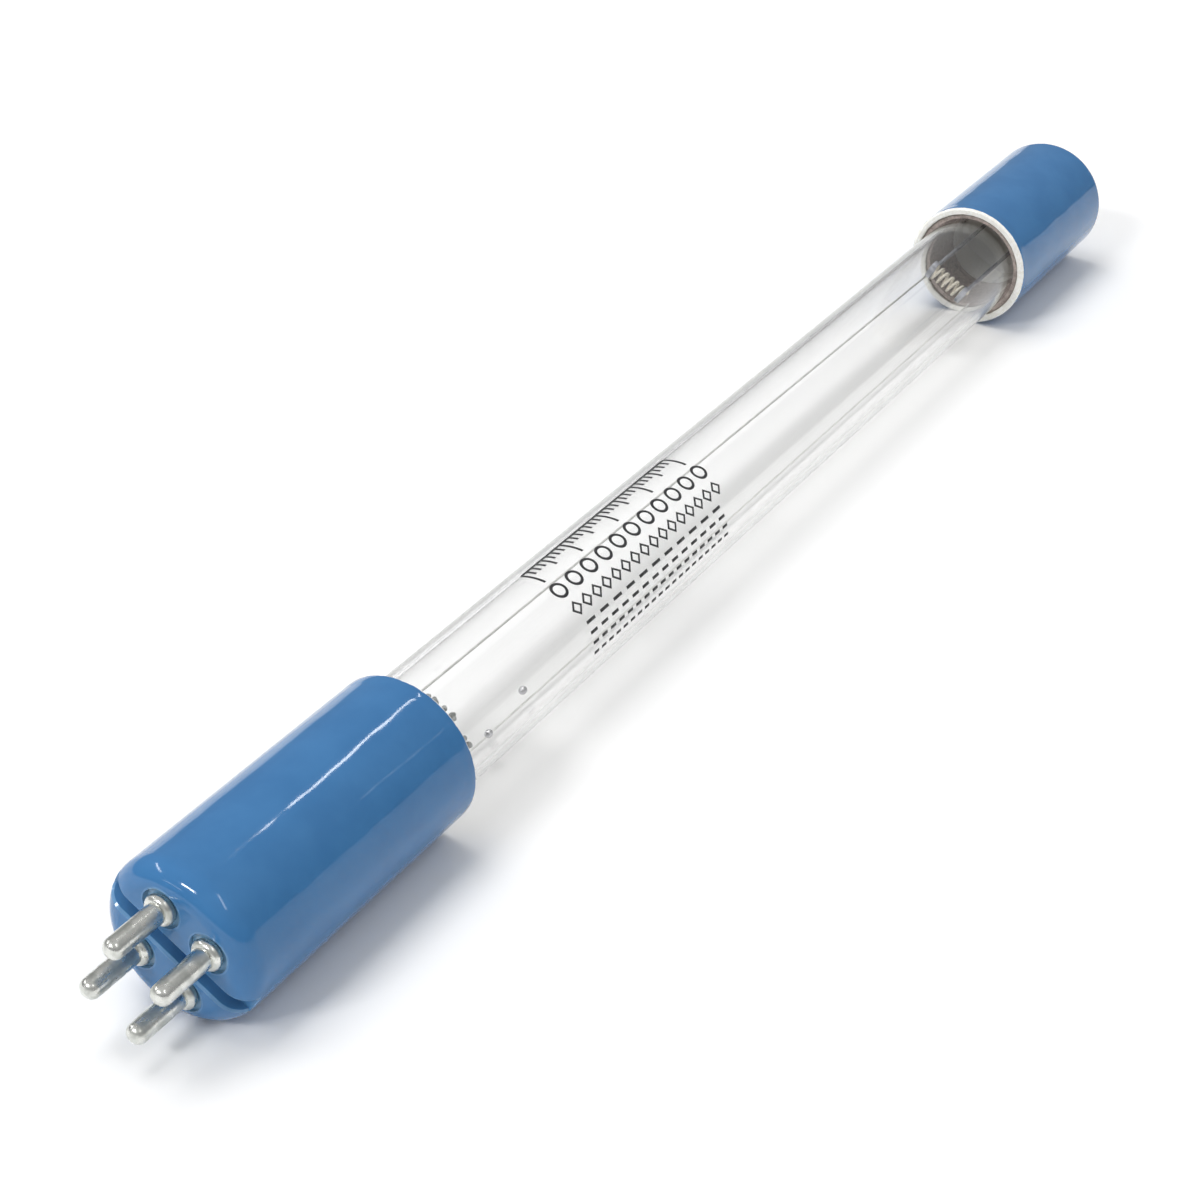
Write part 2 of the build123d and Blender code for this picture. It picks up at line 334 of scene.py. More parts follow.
@dataclass(frozen=True)
class FaceEdges:
    """Sharp edges of the slotted end face, where the glaze runs thin and a highlight is painted, and its
    hollows, where light is painted over their shade.
    """

    face_x: float
    axis_height: float
    roll: float
    slot_half: float = 1.0 * MM
    slot_depth: float = 2.0 * MM
    bevel: float = 0.25 * MM
    pin_along: float = 6.35 / 2 * MM
    pin_across: float = 7.92 / 2 * MM
    recess_radius: float = 2.3 * MM
    ring_width: float = 0.14 * MM
    rim_share: float = 0.5
    # Shares of the recesses' rims in the painted highlight and of the slot in the light painted over the
    # hollows.
    slot_painted_light_share: float = 0.2
    blur: float = 0.1 * MM

    @staticmethod
    def _off(sheet: NodeSheet, value: Socket, middle: float) -> Socket:
        """Give how far the size of a number lies from a middle value."""
        return sheet.calc("SUBTRACT", sheet.calc("ABSOLUTE", value), middle)

    def _between(self, sheet: NodeSheet, value: Socket, low: float, high: float) -> Socket:
        """Give 1 where a number lies between two values, with a soft end inside low and outside high."""
        rise = sheet.span(value, 0.0, self.blur / 2, base=low)
        return sheet.times(rise, sheet.span(value, self.blur, 0.0, base=high))

    def _within(self, sheet: NodeSheet, value: Socket, reach: float) -> Socket:
        """Give 1 where a number is smaller than a reach, with a soft end just past it."""
        return sheet.span(value, self.blur / 2, self.blur / 4, base=reach)

    def masks(self, sheet: NodeSheet) -> tuple[Socket, Socket]:
        """Find the edges and the insides of the slot and the recesses.

        Args:
            sheet: The sheet of the glaze.

        Returns:
            A mask of the slot's lips and the recesses' rims, and a mask of what lies inside them.
        """
        station, side, height = sheet.split(sheet.place())
        lift = sheet.calc("SUBTRACT", height, self.axis_height)
        cos, sin = math.cos(self.roll), math.sin(self.roll)
        along = sheet.calc("ADD", sheet.times(side, cos), sheet.times(lift, sin))
        across = sheet.calc("SUBTRACT", sheet.times(lift, cos), sheet.times(side, sin))
        depth = sheet.calc("SUBTRACT", station, self.face_x)
        shallow = sheet.span(depth, 2 * self.bevel, self.bevel, base=self.slot_depth)
        sunk = sheet.span(depth, self.blur / 4, self.blur / 2)
        from_slot = sheet.calc("ABSOLUTE", across)
        lips = self._between(sheet, from_slot, self.slot_half, self.slot_half + self.bevel)
        slot = sheet.times(self._within(sheet, from_slot, self.slot_half), self.slot_painted_light_share)
        off_along = self._off(sheet, along, self.pin_along)
        from_pin = sheet.hypot(off_along, self._off(sheet, across, self.pin_across))
        rims = self._between(sheet, from_pin, self.recess_radius, self.recess_radius + self.ring_width)
        recess = sheet.times(self._within(sheet, from_pin, self.recess_radius), sunk)
        edges = sheet.calc("MAXIMUM", lips, sheet.times(rims, self.rim_share))
        # Where light is painted over the shade of the slot and the recesses.
        painted_light_hollows = sheet.calc("MAXIMUM", slot, recess)
        return sheet.times(edges, shallow), sheet.times(painted_light_hollows, shallow)


@dataclass(frozen=True)
class CapGlaze:
    """Glossy blue glaze over white ceramic, bare on the rim and in the bore."""

    name: str
    rim_x: float
    inward: float
    bore_radius: float
    floor_depth: float
    stain: Colour
    edges: Union[FaceEdges, None] = None
    blue: Colour = tone(60, 117, 169)
    deep_blue: Colour = tone(54, 111, 163)
    # Paler blue painted into the slot and the recesses as light over their shade.
    hollow_painted_light_blue: Colour = tone(126, 168, 200)
    # Paler blue of thinner glaze on the sharp edges, together with a painted highlight on the slot's lips
    # and the recesses' rims.
    thin_glaze_highlight_blue: Colour = tone(132, 172, 206)
    thin_glaze_highlight_share: float = 0.45
    white: Colour = tone(250, 250, 247)
    cream: Colour = tone(240, 238, 230)
    cloud_scale: float = 160.0
    fleck_scale: float = 2600.0
    grain_scale: float = 3600.0
    grain_depth: float = 0.02 * MM
    ragged_scale: float = 900.0
    ragged_detail: float = 4.0
    ragged_depth: float = 0.16 * MM
    bare_edge: float = 0.32 * MM
    bare_blur: float = 0.05 * MM
    wall_span: Span = (0.2 * MM, 0.05 * MM)
    floor_span: Span = (1.0 * MM, 0.5 * MM)
    stain_span: Span = (0.22 * MM, 0.06 * MM)
    stain_reach: float = 2.0 * MM
    stain_core: float = 0.6 * MM
    stain_share: float = 0.9
    gloss: Span = (0.08, 0.1)
    dull: Span = (0.6, 0.85)
    refraction: float = 1.46
    wave_scale: float = 250.0
    wave_depth: float = 0.06 * MM
    bead_depth: float = 0.05 * MM
    bead_crest: float = 0.8 * MM
    bead_foot: float = 2.2 * MM

    def _blues(self, sheet: NodeSheet, clouds: Socket) -> Socket:
        """Colour the glaze, paler on the sharp edges of a slotted face, as thinner glaze with a painted
        highlight, and in its hollows, as light painted over their shade.

        Args:
            sheet: The sheet of the glaze.
            clouds: Where its blue is deeper.

        Returns:
            The socket with the colour.
        """
        glaze = sheet.mix(clouds, self.blue, self.deep_blue)
        if self.edges is None:
            return glaze
        edges, painted_light_hollows = self.edges.masks(sheet)
        # Hollows: paler blue painted as light over their shade.
        glaze = sheet.mix(painted_light_hollows, glaze, self.hollow_painted_light_blue)
        # Sharp edges: thinner glaze together with a painted highlight.
        return sheet.mix(sheet.times(edges, self.thin_glaze_highlight_share), glaze, self.thin_glaze_highlight_blue)

    def build(self, effects: Effects) -> bpy.types.Material:
        """Make the material.

        Args:
            effects: The shared node groups.

        Returns:
            The material.
        """
        made, sheet, shader = new_material(self.name)
        axis = sheet.group(effects.axis)
        cloud = sheet.group(effects.mottle, Cloud=self.cloud_scale, Fleck=self.fleck_scale)
        grain = sheet.group(effects.grains, Size=self.grain_scale)
        spot = sheet.place()
        radius = axis.outputs["Radius"]
        inside = sheet.times(sheet.calc("SUBTRACT", axis.outputs["Along"], self.rim_x), self.inward)
        ragged = sheet.noise(spot, self.ragged_scale, self.ragged_detail)
        ragged = sheet.stretch(ragged, -self.ragged_depth, self.ragged_depth)
        worn = sheet.calc("ADD", inside, ragged)
        rim = sheet.span(worn, self.bare_blur, -self.bare_blur, base=self.bare_edge)
        wall = sheet.span(radius, *self.wall_span, base=self.bore_radius)
        above_floor = sheet.span(inside, *self.floor_span, base=self.floor_depth)
        bare = sheet.calc("MAXIMUM", rim, sheet.times(wall, above_floor))
        stained = sheet.span(sheet.calc("ADD", radius, ragged), *self.stain_span, base=self.bore_radius)
        near_rim = sheet.span(inside, self.stain_reach, self.stain_core)
        stained = sheet.times(stained, near_rim, self.stain_share)
        glaze = self._blues(sheet, cloud.outputs["Clouds"])
        ceramic = sheet.mix(grain.outputs["Tint"], self.white, self.cream)
        ceramic = sheet.mix(stained, ceramic, self.stain)
        gloss = sheet.stretch(cloud.outputs["Flecks"], *self.gloss)
        dull = sheet.stretch(grain.outputs["Height"], *self.dull)
        waves = sheet.bump(sheet.noise(spot, self.wave_scale, detail=0.0), self.wave_depth)
        swell = sheet.span(inside, self.bead_foot, self.bead_crest)
        swell = sheet.times(swell, sheet.span(inside, 0.0, self.bead_crest))
        bead = sheet.bump(swell, self.bead_depth, waves)
        pits = sheet.times(grain.outputs["Height"], bare)
        sheet.fill(shader, {
            "Base Color": sheet.mix(bare, glaze, ceramic),
            "Roughness": sheet.mix(bare, gloss, dull, Blend.NUMBER),
            "IOR": self.refraction,
            "Normal": sheet.bump(pits, self.grain_depth, bead),
        })
        return made


@dataclass(frozen=True)
class ClearQuartz:
    """Clear fused quartz that lets lamplight through, with dark shade painted on the outside of its two
    upper flanks.

    The rise and the flank of the painted shade are shares of the radius, and its skin is a share of the
    wall.
    """

    base_rim_x: float
    end_rim_x: float
    axis_height: float
    outer_radius: float
    name: str = "clear_quartz"
    wall: float = 1.0 * MM
    refraction: float = 1.46
    tint: Colour = (0.992, 0.992, 0.99)
    cloud_scale: float = 60.0
    fleck_scale: float = 900.0
    breath: Span = (0.0, 0.035)
    seal_haze: float = 0.3
    seal_depth: float = 9.0 * MM
    seal_blend: float = 4.0 * MM
    clear_reach: float = 6.0 * MM
    slant_blend: float = 0.35
    # Dark colour painted on the upper flanks at grazing angles, as painted shade for the tube's dark edge
    # lines.
    painted_shade_tint: Colour = (0.2, 0.2, 0.197)
    painted_shade_facing: Span = (0.51, 0.65)
    painted_shade_rise: float = 0.5
    painted_shade_flank: Span = (0.2, 0.36)
    painted_shade_skin: Span = (0.6, 0.4)
    shade: Colour = (0.955, 0.955, 0.952)
    edge_shade: Colour = (0.5, 0.5, 0.5)
    edge_facing: Span = (0.25, 0.9)

    def _painted_flank_shade(self, sheet: NodeSheet, radius: Socket, facing: Socket) -> Socket:
        """Find where dark shade is painted on the outside of the two upper flanks.

        Args:
            sheet: The sheet of the quartz.
            radius: Distance from the axis.
            facing: How far the surface turns away.

        Returns:
            The socket with the mask.
        """
        _, side, height = sheet.split(sheet.place())
        upper = sheet.span(height, 0.0, self.painted_shade_rise * self.outer_radius, base=self.axis_height)
        skin_low, skin_high = (-share * self.wall for share in self.painted_shade_skin)
        outer = sheet.span(radius, skin_low, skin_high, base=self.outer_radius)
        flank_low, flank_high = (share * self.outer_radius for share in self.painted_shade_flank)
        flank = sheet.span(sheet.calc("ABSOLUTE", side), flank_low, flank_high)
        return sheet.times(upper, outer, flank, sheet.span(facing, *self.painted_shade_facing))

    def _let_light_through(self, sheet: NodeSheet, shader: bpy.types.Node, edge: Socket) -> Socket:
        """Make the quartz clear to the light of the lamps and of the floor.

        Args:
            sheet: The sheet of the quartz.
            shader: The shader that is seen.
            edge: Where the quartz keeps more light back.

        Returns:
            The socket with the finished surface.
        """
        tint = sheet.mix(edge, self.shade, self.edge_shade)
        clear = sheet.node("ShaderNodeBsdfTransparent", {"Color": tint}).outputs[0]
        path = sheet.node("ShaderNodeLightPath")
        shown = shader.outputs[0]
        for ray in ("Is Shadow Ray", "Is Diffuse Ray"):
            feeds = {0: path.outputs[ray], 1: shown, 2: clear}
            shown = sheet.node("ShaderNodeMixShader", feeds).outputs[0]
        return shown

    def build(self, effects: Effects) -> bpy.types.Material:
        """Make the material.

        Args:
            effects: The shared node groups.

        Returns:
            The material.
        """
        made, sheet, shader = new_material(self.name)
        cloud = sheet.group(effects.mottle, Cloud=self.cloud_scale, Fleck=self.fleck_scale)
        axis = sheet.group(effects.axis)
        along = axis.outputs["Along"]
        facing = sheet.node("ShaderNodeLayerWeight", {"Blend": self.slant_blend}).outputs["Facing"]
        past_base = sheet.span(along, -self.clear_reach, 0.0, base=self.base_rim_x)
        before_end = sheet.span(along, self.clear_reach, 0.0, base=self.end_rim_x)
        bared = sheet.times(past_base, before_end)
        # Mask of the painted shade on the upper flanks, only on the bared stretch of tube.
        shaded_flanks = sheet.times(self._painted_flank_shade(sheet, axis.outputs["Radius"], facing), bared)
        seal = sheet.span(along, 0.0, self.seal_blend, base=self.end_rim_x + self.seal_depth)
        breath = sheet.stretch(cloud.outputs["Clouds"], *self.breath)
        sheet.fill(shader, {
            "Base Color": sheet.mix(shaded_flanks, self.tint, self.painted_shade_tint),
            "Roughness": sheet.calc("MAXIMUM", breath, sheet.times(seal, self.seal_haze)),
            "IOR": self.refraction,
            "Transmission Weight": 1.0,
        })
        edge = sheet.times(sheet.span(facing, *self.edge_facing), bared)
        surface = self._let_light_through(sheet, shader, edge)
        sheet.feed(surface, made.node_tree.nodes["Material Output"].inputs["Surface"])
        return made


@dataclass(frozen=True)
class HandledMetal:
    """Metal with drawn lines and dull patches, from bright plating to grey wire."""

    name: str
    bright: Colour
    dull: Colour
    roughness: Span
    line_depth: float = 0.004 * MM
    metallic: float = 1.0

    def build(self, effects: Effects) -> bpy.types.Material:
        """Make the material.

        Args:
            effects: The shared node groups.

        Returns:
            The material.
        """
        made, sheet, shader = new_material(self.name)
        marks = sheet.group(effects.scratches)
        patches = marks.outputs["Patches"]
        sheet.fill(shader, {
            "Base Color": sheet.mix(patches, self.bright, self.dull),
            "Metallic": self.metallic,
            "Roughness": sheet.stretch(patches, *self.roughness),
            "Normal": sheet.bump(marks.outputs["Lines"], self.line_depth),
        })
        return made


@dataclass(frozen=True)
class Gritty:
    """A rough mineral finish: cement or the white coating of a coil."""

    name: str
    light: Colour
    dark: Colour
    grain_size: float
    grain_depth: float
    cloud_scale: float = 500.0
    fleck_scale: float = 4000.0
    roughness: Span = (0.75, 0.95)

    def build(self, effects: Effects) -> bpy.types.Material:
        """Make the material.

        Args:
            effects: The shared node groups.

        Returns:
            The material.
        """
        made, sheet, shader = new_material(self.name)
        grain = sheet.group(effects.grains, Size=self.grain_size)
        cloud = sheet.group(effects.mottle, Cloud=self.cloud_scale, Fleck=self.fleck_scale)
        base = sheet.mix(grain.outputs["Tint"], self.light, self.dark)
        sheet.fill(shader, {
            "Base Color": sheet.mix(cloud.outputs["Flecks"], base, self.dark),
            "Roughness": sheet.stretch(cloud.outputs["Clouds"], *self.roughness),
            "Normal": sheet.bump(grain.outputs["Height"], self.grain_depth),
        })
        return made


@dataclass(frozen=True)
class PrintInk:
    """Dark grey ink fired onto the quartz, a little thin in places."""

    name: str = "print_ink"
    dark: Colour = tone(46, 46, 48)
    thin: Colour = tone(88, 88, 90)
    cloud_scale: float = 900.0
    fleck_scale: float = 5000.0
    roughness: Span = (0.45, 0.7)

    def build(self, effects: Effects) -> bpy.types.Material:
        """Make the material.

        Args:
            effects: The shared node groups.

        Returns:
            The material.
        """
        made, sheet, shader = new_material(self.name)
        cloud = sheet.group(effects.mottle, Cloud=self.cloud_scale, Fleck=self.fleck_scale)
        sheet.fill(shader, {
            "Base Color": sheet.mix(cloud.outputs["Flecks"], self.dark, self.thin),
            "Roughness": sheet.stretch(cloud.outputs["Clouds"], *self.roughness),
        })
        return made


def mesh_piece(
    name: str, mesh: bmesh.types.BMesh, material: bpy.types.Material
) -> bpy.types.Object:
    """Turn a finished mesh into a smooth piece that rides on the lamp.

    Args:
        name: The piece's name.
        mesh: The mesh, in metres in the lamp's frame.
        material: Its finish.

    Returns:
        The piece.
    """
    data = bpy.data.meshes.new(name)
    mesh.to_mesh(data)
    mesh.free()
    data.materials.append(material)
    data.polygons.foreach_set("use_smooth", [True] * len(data.polygons))
    piece = bpy.data.objects.new(name, data)
    bpy.context.scene.collection.objects.link(piece)
    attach(piece, BODY)
    log.info("%s: %d faces", name, len(data.polygons))
    return piece


def skin(
    mesh: bmesh.types.BMesh, rings: Sequence[Sequence[Vector]], hollow: bool = False, loop: bool = False
) -> None:
    """Join rings of points into a tube that is closed at its ends or runs round in a loop.

    Args:
        mesh: The mesh to add to.
        rings: Rings with equal numbers of points.
        hollow: Whether the faces look inwards, as round a bore.
        loop: Whether the last ring joins the first.
    """
    rows = [[mesh.verts.new(point) for point in ring] for ring in rings]
    faces = []
    for first, second in zip(rows, rows[1:] + rows[:1] if loop else rows[1:]):
        for here in range(len(first)):
            after = (here + 1) % len(first)
            faces.append(mesh.faces.new((first[here], first[after], second[after], second[here])))
    if not loop:
        faces.append(mesh.faces.new(list(reversed(rows[0]))))
        faces.append(mesh.faces.new(rows[-1]))
    bmesh.ops.recalc_face_normals(mesh, faces=faces)
    if hollow:
        bmesh.ops.reverse_faces(mesh, faces=faces)


@dataclass(frozen=True)
class LampFrame:
    """Stations and radii of the lamp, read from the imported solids."""

    face_x: float
    base_rim_x: float
    end_rim_x: float
    axis_height: float
    tube_radius: float
    roll: float = math.radians(30.2)

    @classmethod
    def read(cls) -> "LampFrame":
        """Read the stations from the frame.

        Returns:
            The lamp's stations and radii.
        """
        base_low, base_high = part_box("pin_base")
        cap_low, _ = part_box("end_cap")
        tube_low, tube_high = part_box("quartz_tube")
        return cls(
            face_x=base_low.x,
            base_rim_x=base_high.x,
            end_rim_x=cap_low.x,
            axis_height=(base_low.z + base_high.z) / 2,
            tube_radius=(tube_high.z - tube_low.z) / 2,
        )

    def spot(self, x: float, along: float, across: float) -> Vector:
        """Place a point along and across the slot.

        Args:
            x: Station along the axis.
            along: Distance along the slot.
            across: Distance across the slot.

        Returns:
            The point.
        """
        cos, sin = math.cos(self.roll), math.sin(self.roll)
        return Vector((x, along * cos - across * sin, self.axis_height + along * sin + across * cos))

    def round_point(self, x: float, radius: float, angle: float) -> Vector:
        """Place a point round the axis.

        Args:
            x: Station along the axis.
            radius: Distance from the axis.
            angle: Degrees up from the horizontal +Y side.

        Returns:
            The point.
        """
        turn = math.radians(angle)
        return Vector((x, radius * math.cos(turn), self.axis_height + radius * math.sin(turn)))


@dataclass
class QuartzEnvelope:
    """The sealed tube: a fine mesh of the same form as its solid, with a press seal at each end."""

    lamp: LampFrame
    wall: float = 1.0 * MM
    skin_gap: float = 0.015 * MM
    base_seat: float = 11.0 * MM
    end_seat: float = 10.0 * MM
    press_taper: float = 5.0 * MM
    press_length: float = 8.0 * MM
    press_width: float = 13.6 * MM
    press_thickness: float = 4.0 * MM
    press_corner: float = 1.6 * MM
    throat_depth: float = 4.4 * MM
    throat_width: float = 9.0 * MM
    throat_height: float = 1.4 * MM
    sides: int = 192
    taper_steps: int = 8
    straight_steps: int = 24
    hold: float = 0.05 * MM

    def _ring(self, x: float, shape: Section) -> list[Vector]:
        """Points round the tube at x, from a shape given by the angle of its normal."""
        turns = [2 * math.pi * (step + 0.5) / self.sides for step in range(self.sides)]
        return [self.lamp.spot(x, *shape(turn)) for turn in turns]

    @staticmethod
    def _circle(radius: float) -> Section:
        """Shape of a round section."""
        return lambda turn: (radius * math.cos(turn), radius * math.sin(turn))

    def _press(self, turn: float) -> tuple[float, float]:
        """Find a point of the flat, round-cornered press seal.

        Args:
            turn: Angle of the normal.

        Returns:
            The distances along and across the slot.
        """
        side = self.press_width / 2 - self.press_corner
        lift = self.press_thickness / 2 - self.press_corner
        return (
            math.copysign(side, math.cos(turn)) + self.press_corner * math.cos(turn),
            math.copysign(lift, math.sin(turn)) + self.press_corner * math.sin(turn),
        )

    def _throat(self, turn: float) -> tuple[float, float]:
        """Point of the narrow end of the bore."""
        return self.throat_width / 2 * math.cos(turn), self.throat_height / 2 * math.sin(turn)

    def _tapered(self, start: Station, stop: Station) -> list[list[Vector]]:
        """Make rings from one section to another, without the first.

        Args:
            start: Where the taper starts, and its section there.
            stop: Where the taper stops, and its section there.

        Returns:
            The rings.
        """
        (start_x, start_shape), (stop_x, stop_shape) = start, stop
        rings = []
        for step in range(1, self.taper_steps + 1):
            share = step / self.taper_steps

            def between(turn: float, share: float = share) -> tuple[float, float]:
                """Point between the two sections."""
                (first_u, first_v), (last_u, last_v) = start_shape(turn), stop_shape(turn)
                return first_u + (last_u - first_u) * share, first_v + (last_v - first_v) * share

            rings.append(self._ring(start_x + (stop_x - start_x) * share, between))
        return rings

    def _straight(self, shape: Section, start: float, stop: float) -> list[list[Vector]]:
        """Make rings along a straight run, close together at its ends so that the shading stays even.

        Args:
            shape: The section.
            start: Where the run starts.
            stop: Where the run stops.

        Returns:
            The rings.
        """
        shares = [step / self.straight_steps for step in range(1, self.straight_steps)]
        middle = [start + (stop - start) * share for share in shares]
        return [self._ring(x, shape) for x in (start, start + self.hold, *middle, stop - self.hold, stop)]

    def build(self, material: bpy.types.Material) -> bpy.types.Object:
        """Make the tube.

        Args:
            material: The quartz.

        Returns:
            The piece that stands for the tube.
        """
        base_round = self.lamp.base_rim_x - self.base_seat
        end_round = self.lamp.end_rim_x + self.end_seat
        base_press = base_round - self.press_taper
        end_press = end_round + self.press_taper
        outer = self._circle(self.lamp.tube_radius - self.skin_gap)
        inner = self._circle(self.lamp.tube_radius - self.wall)
        shell = [
            self._ring(base_press - self.press_length, self._press),
            *reversed(self._tapered((base_round, outer), (base_press, self._press))),
            *self._straight(outer, base_round, end_round),
            *self._tapered((end_round, outer), (end_press, self._press)),
            self._ring(end_press + self.press_length, self._press),
        ]
        bore = [
            *reversed(self._tapered((base_round, inner), (base_round - self.throat_depth, self._throat))),
            *self._straight(inner, base_round, end_round),
            *self._tapered((end_round, inner), (end_round + self.throat_depth, self._throat)),
        ]
        mesh = bmesh.new()
        skin(mesh, shell)
        skin(mesh, bore, hollow=True)
        piece = mesh_piece("quartz_envelope", mesh, material)
        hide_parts("quartz_tube")
        return piece


@dataclass
class CoilCathode:
    """A coated coil across the tube, as a round wire with an uneven white coat."""

    lamp: LampFrame
    node: str
    name: str
    length: float = 6.9 * MM
    pitch: float = 1.0 * MM
    mean_radius: float = 1.0 * MM
    wire: float = 0.5 * MM
    lift: float = 0.35 * MM
    coat: float = 0.05 * MM
    coat_scale: float = 2600.0
    sides: int = 14
    steps_per_turn: int = 36

    def _coated(self, point: Vector, out: Vector, side: Vector) -> list[Vector]:
        """Make one ring round the wire, uneven as its coat is.

        Args:
            point: Middle of the wire.
            out: The way that leads off the coil's axis.
            side: The way across both the wire and out.

        Returns:
            The ring.
        """
        ring = []
        for corner in range(self.sides):
            around = 2 * math.pi * corner / self.sides
            away = out * math.cos(around) + side * math.sin(around)
            grit = noise.noise((point + away * self.wire) * self.coat_scale) * self.coat
            ring.append(point + away * (self.wire / 2 - self.coat / 2 + grit))
        return ring

    def build(self, material: bpy.types.Material) -> bpy.types.Object:
        """Make the coil.

        Args:
            material: The coating.

        Returns:
            The piece that stands for the coil.
        """
        low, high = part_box(self.node)
        station = (low.x + high.x) / 2
        turns = self.length / self.pitch
        count = round(turns * self.steps_per_turn)
        spread = self.lamp.spot(0.0, 1.0, 0.0) - self.lamp.spot(0.0, 0.0, 0.0)
        rise = self.lamp.spot(0.0, 0.0, 1.0) - self.lamp.spot(0.0, 0.0, 0.0)
        ahead = Vector((1.0, 0.0, 0.0))
        centre = self.lamp.spot(station, 0.0, self.lift)
        climb = self.pitch / (2 * math.pi)
        rings = []
        for step in range(count + 1):
            turn = 2 * math.pi * turns * step / count
            out = ahead * math.cos(turn) + rise * math.sin(turn)
            point = centre + out * self.mean_radius + spread * (climb * turn - self.length / 2)
            tangent = (rise * math.cos(turn) - ahead * math.sin(turn)) * self.mean_radius + spread * climb
            rings.append(self._coated(point, out, tangent.normalized().cross(out)))
        mesh = bmesh.new()
        skin(mesh, rings)
        piece = mesh_piece(self.name, mesh, material)
        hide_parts(self.node)
        return piece


@dataclass
class TubePrint:
    """A plain printed pattern on the tube: a scale, a row of rings, a row of diamonds and dashed lines."""

    lamp: LampFrame
    start_x: float = -42.0 * MM
    length: float = 33.0 * MM
    gap: float = 0.01 * MM
    thickness: float = 0.012 * MM
    line: float = 0.4 * MM
    step: float = 0.3 * MM
    scale_angle: float = 72.0
    ticks: int = 33
    long_tick: float = 3.4 * MM
    middle_tick: float = 2.4 * MM
    short_tick: float = 1.5 * MM
    ticks_per_long: int = 8
    ticks_per_middle: int = 4
    ring_angle: float = 112.0
    rings: int = 11
    ring_radius: float = 1.0 * MM
    ring_sides: int = 20
    diamond_angle: float = 134.0
    diamonds: int = 16
    diamond_radius: float = 0.8 * MM
    diamond_sides: int = 4
    dash_angles: tuple[float, ...] = (150.0, 160.0, 170.0, 180.0)
    first_dashes: int = 12
    more_dashes: int = 3
    dash_share: float = 0.6

    def _stroke(
        self, mesh: bmesh.types.BMesh, path: Sequence[tuple[float, float]], loop: bool = False
    ) -> None:
        """Draw one thin line on the tube.

        Args:
            mesh: The mesh to add to.
            path: Points, each a station along the axis and a distance round the tube.
            loop: Whether the line closes on itself.
        """
        inner = self.lamp.tube_radius + self.gap
        outer = inner + self.thickness
        count = len(path)
        rings = []
        for step, (x, arc) in enumerate(path):
            back = path[(step - 1) % count] if loop or step else path[step]
            ahead = path[(step + 1) % count] if loop or step < count - 1 else path[step]
            run = Vector((ahead[0] - back[0], ahead[1] - back[1])).normalized() * (self.line / 2)
            left, right = (x - run.y, arc + run.x), (x + run.y, arc - run.x)
            ring = []
            corners = ((left, inner), (right, inner), (right, outer), (left, outer))
            for (side_x, side_arc), radius in corners:
                ring.append(self.lamp.round_point(side_x, radius, math.degrees(side_arc / inner)))
            rings.append(ring)
        skin(mesh, rings, loop=loop)

    def _across(self, angle: float) -> float:
        """Distance round the tube at an angle up from the +Y side."""
        return math.radians(angle) * self.lamp.tube_radius

    def _straight(
        self, mesh: bmesh.types.BMesh, start: tuple[float, float], stop: tuple[float, float]
    ) -> None:
        """Draw a straight line, in steps short enough to follow the tube.

        Args:
            mesh: The mesh to add to.
            start: First point, as a station along the axis and a distance round the tube.
            stop: Last point.
        """
        run_x, run_arc = stop[0] - start[0], stop[1] - start[1]
        steps = max(1, math.ceil(abs(run_arc) / self.step))
        shares = [step / steps for step in range(steps + 1)]
        self._stroke(mesh, [(start[0] + run_x * share, start[1] + run_arc * share) for share in shares])

    def _polygon(self, mesh: bmesh.types.BMesh, x: float, arc: float, radius: float, sides: int) -> None:
        """Draw a ring, or with few sides a diamond.

        Args:
            mesh: The mesh to add to.
            x: Station of its middle along the axis.
            arc: Distance of its middle round the tube.
            radius: Its radius.
            sides: How many sides it has.
        """
        turns = (2 * math.pi * side / sides for side in range(sides))
        path = [(x + radius * math.cos(turn), arc + radius * math.sin(turn)) for turn in turns]
        self._stroke(mesh, path, loop=True)

    def _spread(self, count: int) -> list[float]:
        """Stations spread evenly over the print's length."""
        return [self.start_x + self.length * step / (count - 1) for step in range(count)]

    def build(self, material: bpy.types.Material) -> bpy.types.Object:
        """Make the print.

        Args:
            material: The ink.

        Returns:
            The piece.
        """
        mesh = bmesh.new()
        low = self._across(self.scale_angle)
        self._straight(mesh, (self.start_x, low), (self.start_x + self.length, low))
        for tick, x in enumerate(self._spread(self.ticks)):
            reach = self.short_tick
            if tick % self.ticks_per_long == 0:
                reach = self.long_tick
            elif tick % self.ticks_per_middle == 0:
                reach = self.middle_tick
            self._straight(mesh, (x, low), (x, low + reach))
        for x in self._spread(self.rings):
            self._polygon(mesh, x, self._across(self.ring_angle), self.ring_radius, self.ring_sides)
        arc = self._across(self.diamond_angle)
        for x in self._spread(self.diamonds):
            self._polygon(mesh, x, arc, self.diamond_radius, self.diamond_sides)
        for row, angle in enumerate(self.dash_angles):
            arc = self._across(angle)
            dashes = self._spread(self.first_dashes + self.more_dashes * row)
            for here, after in zip(dashes, dashes[1:]):
                self._straight(mesh, (here, arc), (here + (after - here) * self.dash_share, arc))
        return mesh_piece("tube_print", mesh, material)


